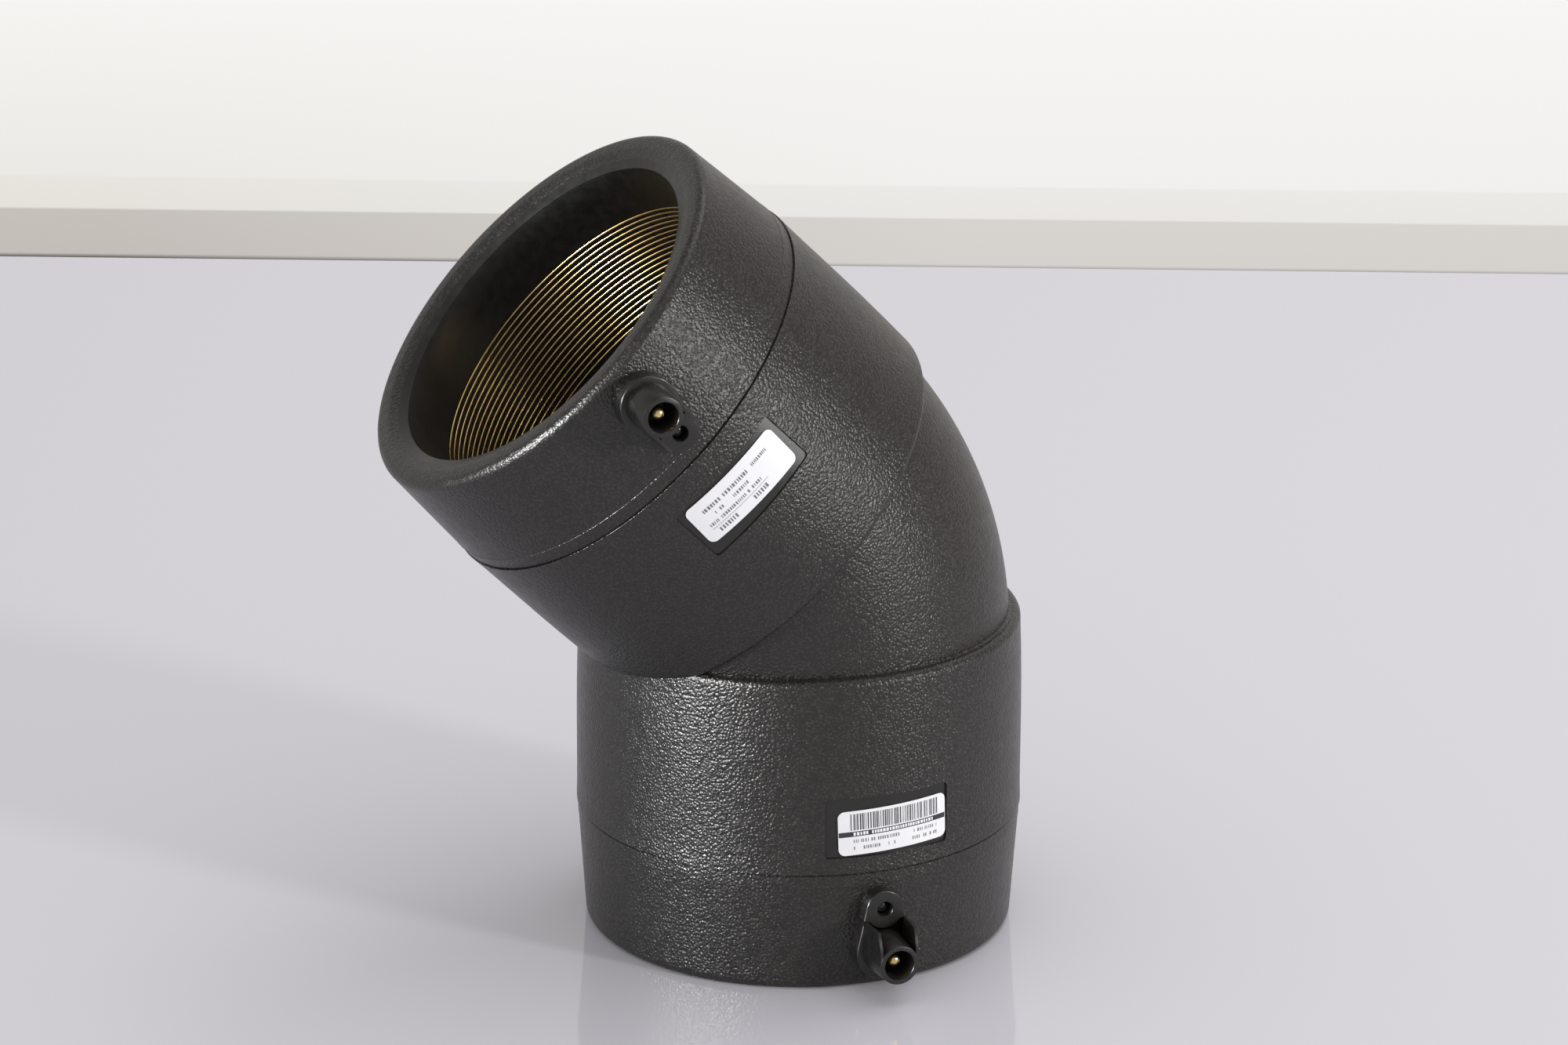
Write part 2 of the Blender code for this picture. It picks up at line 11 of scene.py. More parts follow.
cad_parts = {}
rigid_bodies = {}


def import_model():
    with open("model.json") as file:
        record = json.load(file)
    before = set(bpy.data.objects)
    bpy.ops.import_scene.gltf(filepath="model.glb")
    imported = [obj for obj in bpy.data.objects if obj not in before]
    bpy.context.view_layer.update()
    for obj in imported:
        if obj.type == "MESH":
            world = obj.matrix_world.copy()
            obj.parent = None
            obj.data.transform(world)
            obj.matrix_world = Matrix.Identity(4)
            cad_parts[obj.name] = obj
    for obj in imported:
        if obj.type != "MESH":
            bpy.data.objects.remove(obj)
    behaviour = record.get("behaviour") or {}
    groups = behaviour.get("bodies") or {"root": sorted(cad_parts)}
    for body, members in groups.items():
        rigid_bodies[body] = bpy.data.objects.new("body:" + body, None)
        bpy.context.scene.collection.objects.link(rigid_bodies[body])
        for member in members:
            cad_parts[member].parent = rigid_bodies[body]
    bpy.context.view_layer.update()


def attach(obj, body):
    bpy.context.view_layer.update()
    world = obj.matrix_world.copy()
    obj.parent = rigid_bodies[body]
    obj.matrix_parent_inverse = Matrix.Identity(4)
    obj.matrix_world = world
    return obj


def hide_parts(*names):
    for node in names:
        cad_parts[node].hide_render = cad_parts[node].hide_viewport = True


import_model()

# Sizes of the CAD model, in metres
MM = 0.001
BEND_ANGLE = math.radians(45)
CORNER_HEIGHT = 122.75 * MM
BEND_RADIUS = 70.0 * MM
BEND_OUTER_RADIUS = 66.0 * MM
BEND_ROOT = 10.0 * MM
WATERWAY_RADIUS = 50.5 * MM
BORE_RADIUS = 55.6 * MM
SOCKET_DEPTH = 82.0 * MM
STOP_LENGTH = 3.0 * MM
SLEEVE_LENGTH = 102.2 * MM
MOUTH_RADIUS = 67.6 * MM
RING_RADIUS = 69.9 * MM
RING_STEP = 0.45 * MM
RING_DEPTH = 39.1 * MM
BODY_RADIUS = 70.2 * MM
SHOULDER_RADIUS = 69.5 * MM
RIM_ROUND = 3.0 * MM
LEAD_IN_END = 2.7 * MM
FIRST_TURN_DEPTH = 21.2 * MM
PITCH = 1.96 * MM
TURNS = 18
COIL_RADIUS = 55.95 * MM
WIRE_RADIUS = 0.5 * MM
CHANNEL_HALF_WIDTH = 0.85 * MM
TERMINAL_DEPTH = 13.8 * MM
TERMINAL_ROOT = RING_RADIUS - 7 * MM
INDICATOR_DEPTH = 27.7 * MM
PAD_PLANE = 74.0 * MM
PAD_LARGE_RADIUS = 9.1 * MM
PAD_SMALL_RADIUS = 6.1 * MM
WELL_LENGTH = 10.4 * MM
WELL_DEPTH = 4.5 * MM
SHROUD_TIP_PLANE = 86.3 * MM
SHROUD_TIP_RADIUS = 6.3 * MM
SHROUD_DRAFT = 0.8 / 12.3
SHROUD_BORE_RADIUS = 4.75 * MM
SHROUD_BORE_DEPTH = 12.0 * MM
WEB_THICKNESS = 0.9 * MM
WEB_LENGTH = 10.8 * MM
PIN_RADIUS = 2.0 * MM
PIN_HOLE_RADIUS = 2.3 * MM
PIN_TIP_PLANE = SHROUD_TIP_PLANE - 3.2 * MM
INDICATOR_RADIUS = 2.15 * MM
INDICATOR_HOLE_RADIUS = 2.45 * MM
INDICATOR_FOOT_PLANE = PAD_PLANE - 7.7 * MM
INDICATOR_TIP_PLANE = PAD_PLANE - 2.0 * MM
INDICATOR_HOLE_FLOOR = PAD_PLANE - 8 * MM

# The dish in each rim, a little wider and deeper than in the CAD model
RIM_INNER_RADIUS = 58.2 * MM
RIM_FLAT_RADIUS = 61.4 * MM
RIM_DISH_DEPTH = 1.3 * MM

# Recesses and labels: the place of the middle is across and along the socket, in its own frame
RECESS_DEPTH = 0.6 * MM
RECESS_SIZE = (41.4 * MM, 19.5 * MM)
RECESS_CORNER = 1.2 * MM
RECESS_PLACES = {"lower": (2.8 * MM, 54.25 * MM), "upper": (-0.6 * MM, 58.4 * MM)}
LABEL_SIZE = (36.8 * MM, 14.5 * MM)
LABEL_CORNER = 2.2 * MM
LABEL_PLACES = {"lower": (4.6 * MM, 53.0 * MM), "upper": (-0.4 * MM, 57.6 * MM)}
LABEL_TURNS = {"lower": math.radians(2.0), "upper": -math.radians(3.2)}
LABEL_SEAT = BODY_RADIUS - RECESS_DEPTH + 0.3 * MM
LABEL_THICKNESS = 0.2 * MM
PRINT_LIFT = 0.012 * MM
TOP_PRINT_LIFT = 0.022 * MM

# Small forms, some of which the CAD model has in a simpler shape or leaves out
OVERLAP = 2 * MM  # how far a solid reaches past the face that it cuts or joins
DISH_BLEND = 0.6 * MM
SEAM_DEPTH = 34.5 * MM
SEAM_STEP = 0.12 * MM
GROOVE_DEPTH = 0.40 * MM
GROOVE_START = RING_DEPTH - 0.46 * MM
GROOVE_END = RING_DEPTH + 0.14 * MM
RING_FLAT_START = RING_DEPTH + 0.24 * MM
RING_FLAT_END = RING_DEPTH + 6 * MM
NARROWING = [(0.0, 70), (0.10, 79), (0.32, 89), (0.58, 96)]  # less radius and depth, in millimetres
SHOULDER_ROUND = 2.3 * MM
NECK_FILLET = 1.6 * MM
PAD_ROUND = 0.55 * MM
SHROUD_RIM_ROUND = 0.22 * MM
RIM_FINISH_DEPTH = 2.2 * MM

# Steps round a full circle
PIN_STEPS = 64
HOLE_STEPS = 72
SHROUD_STEPS = 96
SLEEVE_STEPS = 192
WIRE_STEPS_PER_TURN = 96
WIRE_SIDES = 12

STRAIGHT_LENGTH = CORNER_HEIGHT - BEND_RADIUS * math.tan(BEND_ANGLE / 2)
CENTRELINE_LENGTH = 2 * STRAIGHT_LENGTH + BEND_RADIUS * BEND_ANGLE
LAST_TURN_DEPTH = FIRST_TURN_DEPTH + TURNS * PITCH
AXIS = Vector((31.5026 * MM, 7.975 * MM, 0))


def centreline(distance):
    """The point at this distance from the lower mouth, and the way out of the bend there."""
    turn = min(max((distance - STRAIGHT_LENGTH) / BEND_RADIUS, 0.0), BEND_ANGLE)
    outwards = np.array((math.cos(turn), 0, math.sin(turn)))
    along = np.array((-math.sin(turn), 0, math.cos(turn)))
    straight_run = distance - STRAIGHT_LENGTH - turn * BEND_RADIUS
    pivot = np.array((AXIS.x - BEND_RADIUS, AXIS.y, STRAIGHT_LENGTH))
    return pivot + outwards * BEND_RADIUS + along * straight_run, outwards


def beside_centreline(distance, angle, radius):
    """A point off the centreline, and the way from the centreline to it."""
    centre, outwards = centreline(distance)
    away = outwards * math.cos(angle) + np.array((0, math.sin(angle), 0))
    return centre + away * radius, away


def bend_distances(steps):
    """Even distances along the centreline, from one end of the bend to the other."""
    length = BEND_RADIUS * BEND_ANGLE
    return [STRAIGHT_LENGTH + length * i / steps for i in range(steps + 1)]


# Each socket's own frame: the mouth's middle, x across the terminal and z into the socket
FAR_MOUTH = Vector(centreline(CENTRELINE_LENGTH)[0])
SOCKETS = {
    "lower": Matrix.Translation(AXIS),
    "upper": Matrix.Translation(FAR_MOUTH) @ Matrix.Rotation(math.pi - BEND_ANGLE, 4, "Y"),
}

# Meshes


def make_mesh(name, points, faces):
    mesh = bpy.data.meshes.new(name)
    mesh.from_pydata([tuple(p) for p in points], [], faces)
    mesh.update()
    return mesh


def turned_outwards(mesh):
    builder = bmesh.new()
    builder.from_mesh(mesh)
    bmesh.ops.recalc_face_normals(builder, faces=builder.faces[:])
    if builder.calc_volume(signed=True) < 0:
        bmesh.ops.reverse_faces(builder, faces=builder.faces[:])
    builder.to_mesh(mesh)
    builder.free()
    return mesh


def loft(name, rings, matrix=None):
    """A closed mesh through rows of as many points each, with flat ends."""
    count = len(rings[0])
    points = [p for ring in rings for p in ring]
    faces = []
    for row in range(len(rings) - 1):
        for i in range(count):
            j = (i + 1) % count
            a, b = row * count, (row + 1) * count
            faces.append((a + i, a + j, b + j, b + i))
    faces.append(tuple(range(count))[::-1])
    last = (len(rings) - 1) * count
    faces.append(tuple(range(last, last + count)))
    mesh = make_mesh(name, points, faces)
    if matrix:
        mesh.transform(matrix)
    return turned_outwards(mesh)


def circle(radius, height, segments, phase):
    steps = [2 * math.pi * (i + phase) / segments for i in range(segments)]
    return [(radius * math.cos(a), radius * math.sin(a), height) for a in steps]


def turned(name, profile, segments, matrix, phase=0.0):
    """A solid turned from rows of radius and height."""
    return loft(name, [circle(radius, height, segments, phase) for radius, height in profile], matrix)


def upright(name, profile, depth, segments, matrix):
    """A turned solid that stands out of a sleeve's side at this depth, with planes as heights."""
    turn = Matrix.Translation((0, 0, depth)) @ Matrix.Rotation(math.pi / 2, 4, "X")
    return turned(name, profile, segments, matrix @ turn)


def arc(centre, radius, start, end, steps):
    """Points on an arc, with its ends, between two angles in degrees."""
    angles = [math.radians(start + (end - start) * i / steps) for i in range(steps + 1)]
    return [(centre[0] + radius * math.cos(a), centre[1] + radius * math.sin(a)) for a in angles]


def run(first, last, steps):
    """Points in a straight line between two points, without its ends."""
    return [
        (first[0] + (last[0] - first[0]) * i / steps, first[1] + (last[1] - first[1]) * i / steps)
        for i in range(1, steps)
    ]


def rounded_rectangle(size, corner, steps):
    points = []
    for quarter, (sx, sy) in enumerate([(1, 1), (-1, 1), (-1, -1), (1, -1)]):
        for i in range(steps + 1):
            a = math.pi / 2 * (quarter + i / steps)
            x = sx * (size[0] / 2 - corner) + corner * math.cos(a)
            y = sy * (size[1] / 2 - corner) + corner * math.sin(a)
            points.append((x, y))
    return points


def curved_plate(name, outline, spot, turn, radius, thickness, matrix):
    """A flat outline that is cut in strips, thickened and wrapped round a sleeve."""
    builder = bmesh.new()
    c, s = math.cos(turn), math.sin(turn)
    corners = [(spot[0] + c * x - s * y, spot[1] + s * x + c * y) for x, y in outline]
    builder.faces.new([builder.verts.new((x, y, 0)) for x, y in corners])
    strip = math.radians(1.0) * radius
    low = min(x for x, _ in corners)
    high = max(x for x, _ in corners)
    for i in range(math.ceil(low / strip), math.ceil(high / strip)):
        geometry = builder.verts[:] + builder.edges[:] + builder.faces[:]
        bmesh.ops.bisect_plane(builder, geom=geometry, plane_co=(i * strip, 0, 0), plane_no=(1, 0, 0))
    result = bmesh.ops.extrude_face_region(builder, geom=builder.faces[:])
    for vertex in result["geom"]:
        if isinstance(vertex, bmesh.types.BMVert):
            vertex.co.z = thickness
    for vertex in builder.verts:
        angle = vertex.co.x / radius
        distance = radius + vertex.co.z
        vertex.co = (distance * math.sin(angle), -distance * math.cos(angle), vertex.co.y)
    mesh = bpy.data.meshes.new(name)
    builder.to_mesh(mesh)
    builder.free()
    mesh.transform(matrix)
    return turned_outwards(mesh)


def place(name, mesh, material=None):
    item = bpy.data.objects.new(name, mesh)
    bpy.context.scene.collection.objects.link(item)
    if material:
        mesh.materials.append(material)
    return item


def solve(base, steps):
    """A mesh from a row of Boolean steps: the operation, and the meshes that it takes."""
    body = place("solid", base)
    groups = []
    for operation, meshes in steps:
        group = bpy.data.collections.new("operands")
        bpy.context.scene.collection.children.link(group)
        for mesh in meshes:
            group.objects.link(bpy.data.objects.new("operand", mesh))
        modifier = body.modifiers.new(operation, "BOOLEAN")
        modifier.operation = operation
        modifier.solver = "EXACT"
        modifier.operand_type = "COLLECTION"
        modifier.collection = group
        groups.append(group)
    bpy.context.view_layer.update()
    graph = bpy.context.evaluated_depsgraph_get()
    mesh = bpy.data.meshes.new_from_object(body.evaluated_get(graph))
    bpy.data.objects.remove(body)
    for group in groups:
        for item in list(group.objects):
            bpy.data.objects.remove(item)
        bpy.data.collections.remove(group)
    return mesh


def smooth(mesh, angle=40):
    """Smooth shading, but for edges sharper than this many degrees."""
    mesh.shade_smooth()
    mesh.set_sharp_from_angle(angle=math.radians(angle))
    return mesh


def settle(item, *nodes, slot):
    """The piece rides on the part's one body and takes the place of its nodes."""
    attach(item, "root")
    if nodes:
        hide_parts(*nodes)


# Materials


class Nodes:
    """A small helper that adds nodes to a material and links them."""

    def __init__(self, name):
        self.material = bpy.data.materials.new(name)
        self.material.use_nodes = True
        self.tree = self.material.node_tree
        self.shader = self.tree.nodes["Principled BSDF"]
        self.place = self.add("ShaderNodeTexCoord").outputs["Object"]

    def add(self, kind, **values):
        node = self.tree.nodes.new(kind)
        for key, value in values.items():
            if hasattr(node, key):
                setattr(node, key, value)
            else:
                node.inputs[key.replace("_", " ")].default_value = value
        return node

    def link(self, source, target):
        self.tree.links.new(source, target)

    def noise(self, scale, detail):
        node = self.add("ShaderNodeTexNoise", Scale=scale, Detail=detail, Roughness=0.5)
        self.link(self.place, node.inputs["Vector"])
        return node.outputs["Fac"]

    def cells(self, scale, smoothness):
        node = self.add("ShaderNodeTexVoronoi", feature="SMOOTH_F1", Scale=scale, Smoothness=smoothness)
        self.link(self.place, node.inputs["Vector"])
        return node.outputs["Distance"]

    def math(self, operation, first, second):
        node = self.add("ShaderNodeMath", operation=operation)
        for socket, value in zip(node.inputs, (first, second)):
            if isinstance(value, (int, float)):
                socket.default_value = value
            else:
                self.link(value, socket)
        return node.outputs[0]

    def between(self, value, low, high, start=0.3, end=0.7):
        """The value from start to end, mapped to low to high."""
        node = self.add("ShaderNodeMapRange")
        self.link(value, node.inputs["Value"])
        for key, number in (("From Min", start), ("From Max", end), ("To Min", low), ("To Max", high)):
            node.inputs[key].default_value = number
        return node.outputs[0]

    def colour_between(self, value, first, second, start=0.3, end=0.7):
        node = self.add("ShaderNodeMix", data_type="RGBA")
        self.link(self.between(value, 0, 1, start, end), node.inputs[0])
        node.inputs[6].default_value = (*first, 1)
        node.inputs[7].default_value = (*second, 1)
        self.link(node.outputs[2], self.shader.inputs["Base Color"])

    def roughness_between(self, value, low, high):
        self.link(self.between(value, low, high), self.shader.inputs["Roughness"])

    def bump(self, height, distance, strength):
        node = self.add("ShaderNodeBump", Distance=distance, Strength=strength)
        self.link(height, node.inputs["Height"])
        self.link(node.outputs[0], self.shader.inputs["Normal"])


def pebbled_black(name, roughness, distance):
    """Spark-eroded plastic: pebbles near 1 mm, finer grain and a slow swell."""
    m = Nodes(name)
    m.roughness_between(m.noise(260, 3), roughness - 0.04, roughness + 0.04)
    pebbles = m.math("MULTIPLY", m.math("SUBTRACT", 1.0, m.cells(1120, 0.45)), 1.2)
    grain = m.math("ADD", pebbles, m.math("MULTIPLY", m.noise(1550, 2), 0.8))
    swell = m.math("MULTIPLY", m.noise(330, 2), 0.6)
    # The colour is lighter where the pebbles stand high: painted glints over the plastic's own dark tone.
    m.colour_between(grain, (0.0140, 0.0122, 0.0105), (0.0400, 0.0350, 0.0302), 1.00, 1.50)
    m.bump(m.math("ADD", grain, swell), distance, 1.0)
    return m.material


def fine_black(name, roughness, grain, distance, painted_shade=1.0):
    """Smoother plastic with a faint grain."""
    m = Nodes(name)
    # A painted_shade below 1 darkens the colour: painted shade, which the bore and lead-in take for their
    # dark hollow.
    low = tuple(c * painted_shade for c in (0.0120, 0.0110, 0.0100))
    high = tuple(c * painted_shade for c in (0.0160, 0.0148, 0.0135))
    m.colour_between(m.noise(90, 3), low, high)
    m.roughness_between(m.noise(300, 3), roughness - 0.05, roughness + 0.05)
    m.bump(m.math("ADD", m.noise(grain, 3), m.math("MULTIPLY", m.noise(grain / 5, 2), 0.6)), distance, 0.6)
    return m.material


def metal(name, colour, roughness):
    m = Nodes(name)
    m.colour_between(m.noise(120, 2), tuple(c * 0.90 for c in colour), colour)
    m.shader.inputs["Metallic"].default_value = 1.0
    m.roughness_between(m.noise(150, 2), roughness - 0.03, roughness + 0.04)
    return m.material


def film(name, colour, roughness):
    m = Nodes(name)
    m.colour_between(m.noise(200, 2), tuple(c * 0.97 for c in colour), colour)
    m.shader.inputs["Roughness"].default_value = roughness
    m.bump(m.noise(500, 2), 0.02 * MM, 0.4)
    return m.material


# The moulding


def sleeve_profile():
    """The outside of a sleeve, finer than in the CAD model but on the same sizes."""
    slope = RIM_DISH_DEPTH / (RIM_FLAT_RADIUS - RIM_INNER_RADIUS)
    taper_end = (RING_RADIUS - 0.1 * MM, SEAM_DEPTH)
    groove = RING_RADIUS - GROOVE_DEPTH
    ring = RING_RADIUS + RING_STEP
    narrowing = [(BODY_RADIUS - less * MM, depth * MM) for less, depth in NARROWING]
    round_centre = (SHOULDER_RADIUS - SHOULDER_ROUND, SLEEVE_LENGTH - SHOULDER_ROUND)
    fillet_centre = (BEND_OUTER_RADIUS + NECK_FILLET / 2, SLEEVE_LENGTH + NECK_FILLET)
    return [
        (RIM_INNER_RADIUS - OVERLAP, RIM_DISH_DEPTH + OVERLAP * slope),
        (RIM_FLAT_RADIUS - DISH_BLEND, DISH_BLEND * slope),
        (RIM_FLAT_RADIUS, DISH_BLEND / 10),
        (RIM_FLAT_RADIUS + DISH_BLEND, 0),
        *arc((MOUTH_RADIUS - RIM_ROUND, RIM_ROUND), RIM_ROUND, -90, 0, 10),
        *run((MOUTH_RADIUS, RIM_ROUND), taper_end, 8),
        (RING_RADIUS - SEAM_STEP, SEAM_DEPTH),
        (RING_RADIUS - SEAM_STEP / 6, SEAM_DEPTH + SEAM_STEP),
        (RING_RADIUS, SEAM_DEPTH + 0.7 * MM),
        (RING_RADIUS, GROOVE_START),
        (groove, GROOVE_START + 0.04 * MM),
        (groove, GROOVE_END),
        (ring - 0.06 * MM, GROOVE_END + 0.02 * MM),
        (ring, RING_FLAT_START),
        *run((ring, RING_FLAT_START), (BODY_RADIUS, RING_FLAT_END), 4),
        (BODY_RADIUS, RING_FLAT_END),
        *run((BODY_RADIUS, RING_FLAT_END), narrowing[0], 6),
        *narrowing,
        *arc(round_centre, SHOULDER_ROUND, 0, 90, 10),
        *arc(fillet_centre, NECK_FILLET, -90, -180, 6),
    ]


def bend_outside():
    """The bend's own body, which ends a little way inside each sleeve."""
    angles = [2 * math.pi * (i + 0.25) / SLEEVE_STEPS for i in range(SLEEVE_STEPS)]
    root = STRAIGHT_LENGTH - BEND_ROOT
    distances = [root, *bend_distances(36), CENTRELINE_LENGTH - root]
    rings = [[beside_centreline(d, a, BEND_OUTER_RADIUS)[0] for a in angles] for d in distances]
    return loft("bend_outside", rings)


def bore():
    """The hollow from mouth to mouth, with small radii at its edges."""
    slope = (RIM_INNER_RADIUS - BORE_RADIUS) / (LEAD_IN_END - RIM_DISH_DEPTH)
    stop_end = SOCKET_DEPTH + STOP_LENGTH
    edge = 0.02 * MM
    narrow, wide = 0.2 * MM, 0.3 * MM
    mouth = [
        (RIM_INNER_RADIUS + (RIM_DISH_DEPTH + OVERLAP) * slope, -OVERLAP),
        (BORE_RADIUS + 2 * edge, LEAD_IN_END - edge),
        (BORE_RADIUS, LEAD_IN_END + 3 * edge),
        (BORE_RADIUS, 12 * MM),
        (BORE_RADIUS, FIRST_TURN_DEPTH - 2 * MM),
        (BORE_RADIUS, LAST_TURN_DEPTH + 2 * MM),
        (BORE_RADIUS, SOCKET_DEPTH - wide),
        (BORE_RADIUS - narrow, SOCKET_DEPTH),
        (WATERWAY_RADIUS + wide, stop_end - narrow),
        (WATERWAY_RADIUS, stop_end + narrow),
    ]
    stations = [(depth, radius) for radius, depth in mouth]
    stations += [(distance, WATERWAY_RADIUS) for distance in bend_distances(24)]
    stations += [(CENTRELINE_LENGTH - depth, radius) for radius, depth in reversed(mouth)]
    angles = [2 * math.pi * i / SLEEVE_STEPS for i in range(SLEEVE_STEPS)]
    return loft("bore", [[beside_centreline(d, a, r)[0] for a in angles] for d, r in stations])


def channel(first, last, steps=1):
    """A square channel along the centreline for a straight or bent run of the wire."""
    half = CHANNEL_HALF_WIDTH * math.sqrt(2)
    corners = [math.radians(degrees) for degrees in (45, 135, 225, 315)]
    rings = []
    for i in range(steps + 1):
        distance = first + (last - first) * i / steps
        point, away = beside_centreline(distance, -math.pi / 2, COIL_RADIUS)
        outwards = centreline(distance)[1]
        rings.append([point + (away * math.cos(a) + outwards * math.sin(a)) * half for a in corners])
    return loft("channel", rings)


def shroud_radius(level):
    return SHROUD_TIP_RADIUS + SHROUD_DRAFT * (SHROUD_TIP_PLANE - level)


def pad_outline(shrink):
    """The pear shape: a large arc round the pin and a small one round the indicator."""
    large = PAD_LARGE_RADIUS - shrink
    small = PAD_SMALL_RADIUS - shrink
    tangent = math.asin((large - small) / (INDICATOR_DEPTH - TERMINAL_DEPTH))
    large_steps, small_steps = 48, 32
    points = []
    for i in range(large_steps + 1):
        a = math.pi - tangent + (math.pi + 2 * tangent) * i / large_steps
        points.append((large * math.cos(a), TERMINAL_DEPTH + large * math.sin(a)))
    for i in range(small_steps + 1):
        a = tangent + (math.pi - 2 * tangent) * i / small_steps
        points.append((small * math.cos(a), INDICATOR_DEPTH + small * math.sin(a)))
    return points


def pad(matrix):
    """The pad, with its top edge rounded."""
    rows = [(0, TERMINAL_ROOT)]
    for degrees in (0, 22.5, 45, 67.5, 90):
        a = math.radians(degrees)
        rows.append((PAD_ROUND * (1 - math.cos(a)), PAD_PLANE - PAD_ROUND + PAD_ROUND * math.sin(a)))
    rings = [[(x, -level, z) for x, z in pad_outline(shrink)] for shrink, level in rows]
    return loft("pad", rings, matrix)


def well(matrix):
    """The sunk floor between the webs, open towards the indicator."""
    side = shroud_radius(PAD_PLANE) - WEB_THICKNESS / 2
    end = TERMINAL_DEPTH + WELL_LENGTH
    start = math.asin((INDICATOR_DEPTH - end) / PAD_SMALL_RADIUS)
    outline = [(-side, end), (-side, TERMINAL_DEPTH), (side, TERMINAL_DEPTH), (side, end)]
    steps = 24
    for i in range(steps + 1):
        a = -start - (math.pi - 2 * start) * i / steps
        outline.append((PAD_SMALL_RADIUS * math.cos(a), INDICATOR_DEPTH + PAD_SMALL_RADIUS * math.sin(a)))
    levels = (PAD_PLANE - WELL_DEPTH, PAD_PLANE + OVERLAP)
    return loft("well", [[(x, -level, z) for x, z in outline] for level in levels], matrix)


def shroud(matrix):
    tip, edge = SHROUD_TIP_PLANE, SHROUD_RIM_ROUND
    return upright("shroud", [
        (shroud_radius(TERMINAL_ROOT), TERMINAL_ROOT),
        (shroud_radius(tip - edge), tip - edge),
        (SHROUD_TIP_RADIUS - edge * 0.3, tip - edge * 0.3),
        (SHROUD_TIP_RADIUS - edge, tip),
    ], TERMINAL_DEPTH, SHROUD_STEPS, matrix)


def web(side, matrix):
    """One sloping web beside the shroud: side is -1 or 1."""
    high = SHROUD_TIP_PLANE - 0.12 * MM
    low = SHROUD_TIP_PLANE - 2.4 * MM
    corners = [
        (TERMINAL_ROOT, 0), (TERMINAL_ROOT, WEB_LENGTH),
        (low, WEB_LENGTH), (low + 0.3 * MM, WEB_LENGTH - 0.25 * MM),
        (high - 0.08 * MM, 5.4 * MM), (high, 4.6 * MM), (high, 0),
    ]
    rings = [
        [(side * (shroud_radius(level) - inset), -level, TERMINAL_DEPTH + along) for level, along in corners]
        for inset in (0.01 * MM, WEB_THICKNESS)
    ]
    return loft("web", rings, matrix)


def terminal(matrix):
    """A pad with its well, shroud and webs."""
    webs = [web(side, matrix) for side in (-1, 1)]
    steps = [("DIFFERENCE", [well(matrix)]), ("UNION", [shroud(matrix)]), ("UNION", webs)]
    return solve(pad(matrix), steps)


def shroud_bore(matrix):
    """The hole for the pin and the space in the shroud, with a small radius at the lip."""
    floor = SHROUD_TIP_PLANE - SHROUD_BORE_DEPTH
    tip = SHROUD_TIP_PLANE
    edge = 0.15 * MM
    return upright("shroud_bore", [
        (PIN_HOLE_RADIUS, COIL_RADIUS + WIRE_RADIUS), (PIN_HOLE_RADIUS, floor),
        (SHROUD_BORE_RADIUS - edge, floor), (SHROUD_BORE_RADIUS, floor + edge),
        (SHROUD_BORE_RADIUS, tip - 0.25 * MM), (SHROUD_BORE_RADIUS + 0.07 * MM, tip - 0.1 * MM),
        (SHROUD_BORE_RADIUS + 0.35 * MM, tip + 0.1 * MM), (SHROUD_BORE_RADIUS + 0.6 * MM, tip + OVERLAP),
    ], TERMINAL_DEPTH, SHROUD_STEPS, matrix)


def indicator_hole(matrix):
    """The hole for the indicator, with a small chamfer."""
    chamfer = 0.2 * MM
    mouth = INDICATOR_HOLE_RADIUS + 0.35 * MM
    return upright("indicator_hole", [
        (INDICATOR_HOLE_RADIUS, INDICATOR_HOLE_FLOOR), (INDICATOR_HOLE_RADIUS, PAD_PLANE - chamfer),
        (INDICATOR_HOLE_RADIUS + 0.1 * MM, PAD_PLANE - 0.04 * MM),
        (mouth, PAD_PLANE + chamfer), (mouth, PAD_PLANE + OVERLAP),
    ], INDICATOR_DEPTH, HOLE_STEPS, matrix)


def recess(which, matrix):
    outline = rounded_rectangle(RECESS_SIZE, RECESS_CORNER, 8)
    seat = BODY_RADIUS - RECESS_DEPTH
    return curved_plate("recess", outline, RECESS_PLACES[which], 0, seat, RECESS_DEPTH + OVERLAP, matrix)


def moulding():
    """Both sleeves, the bend and the terminals in one solid, with every hollow cut from it."""
    base = turned("sleeve", sleeve_profile(), SLEEVE_STEPS, SOCKETS["lower"])
    other = turned("sleeve", sleeve_profile(), SLEEVE_STEPS, SOCKETS["upper"], 0.5)
    lead = TERMINAL_DEPTH - 1.5 * MM
    cutters = [
        bore(),
        channel(lead, FIRST_TURN_DEPTH),
        channel(CENTRELINE_LENGTH - FIRST_TURN_DEPTH, CENTRELINE_LENGTH - lead),
        channel(LAST_TURN_DEPTH, CENTRELINE_LENGTH - LAST_TURN_DEPTH, 24),
    ]
    terminals = []
    for which, matrix in SOCKETS.items():
        terminals.append(terminal(matrix))
        cutters += [shroud_bore(matrix), indicator_hole(matrix), recess(which, matrix)]
    return solve(base, [("UNION", [other, bend_outside()]), ("UNION", terminals), ("DIFFERENCE", cutters)])


# Finishes of the moulding, in the order of its materials
PEBBLED, RIM, SATIN, BORE = range(4)
MARGIN = 0.1 * MM


def in_waterway(point):
    """Whether a point of the moulding's surface lies on the wall of the waterway."""
    d = point - AXIS
    wall = WATERWAY_RADIUS + 1 * MM
    if d.z < STRAIGHT_LENGTH:
        return math.hypot(d.x, d.y) < wall
    turn = math.atan2(d.z - STRAIGHT_LENGTH, d.x + BEND_RADIUS)
    if turn < BEND_ANGLE:
        spoke = math.hypot(d.x + BEND_RADIUS, d.z - STRAIGHT_LENGTH)
        return math.hypot(spoke - BEND_RADIUS, d.y) < wall
    p = SOCKETS["upper"].inverted() @ point
    return math.hypot(p.x, p.y) < wall


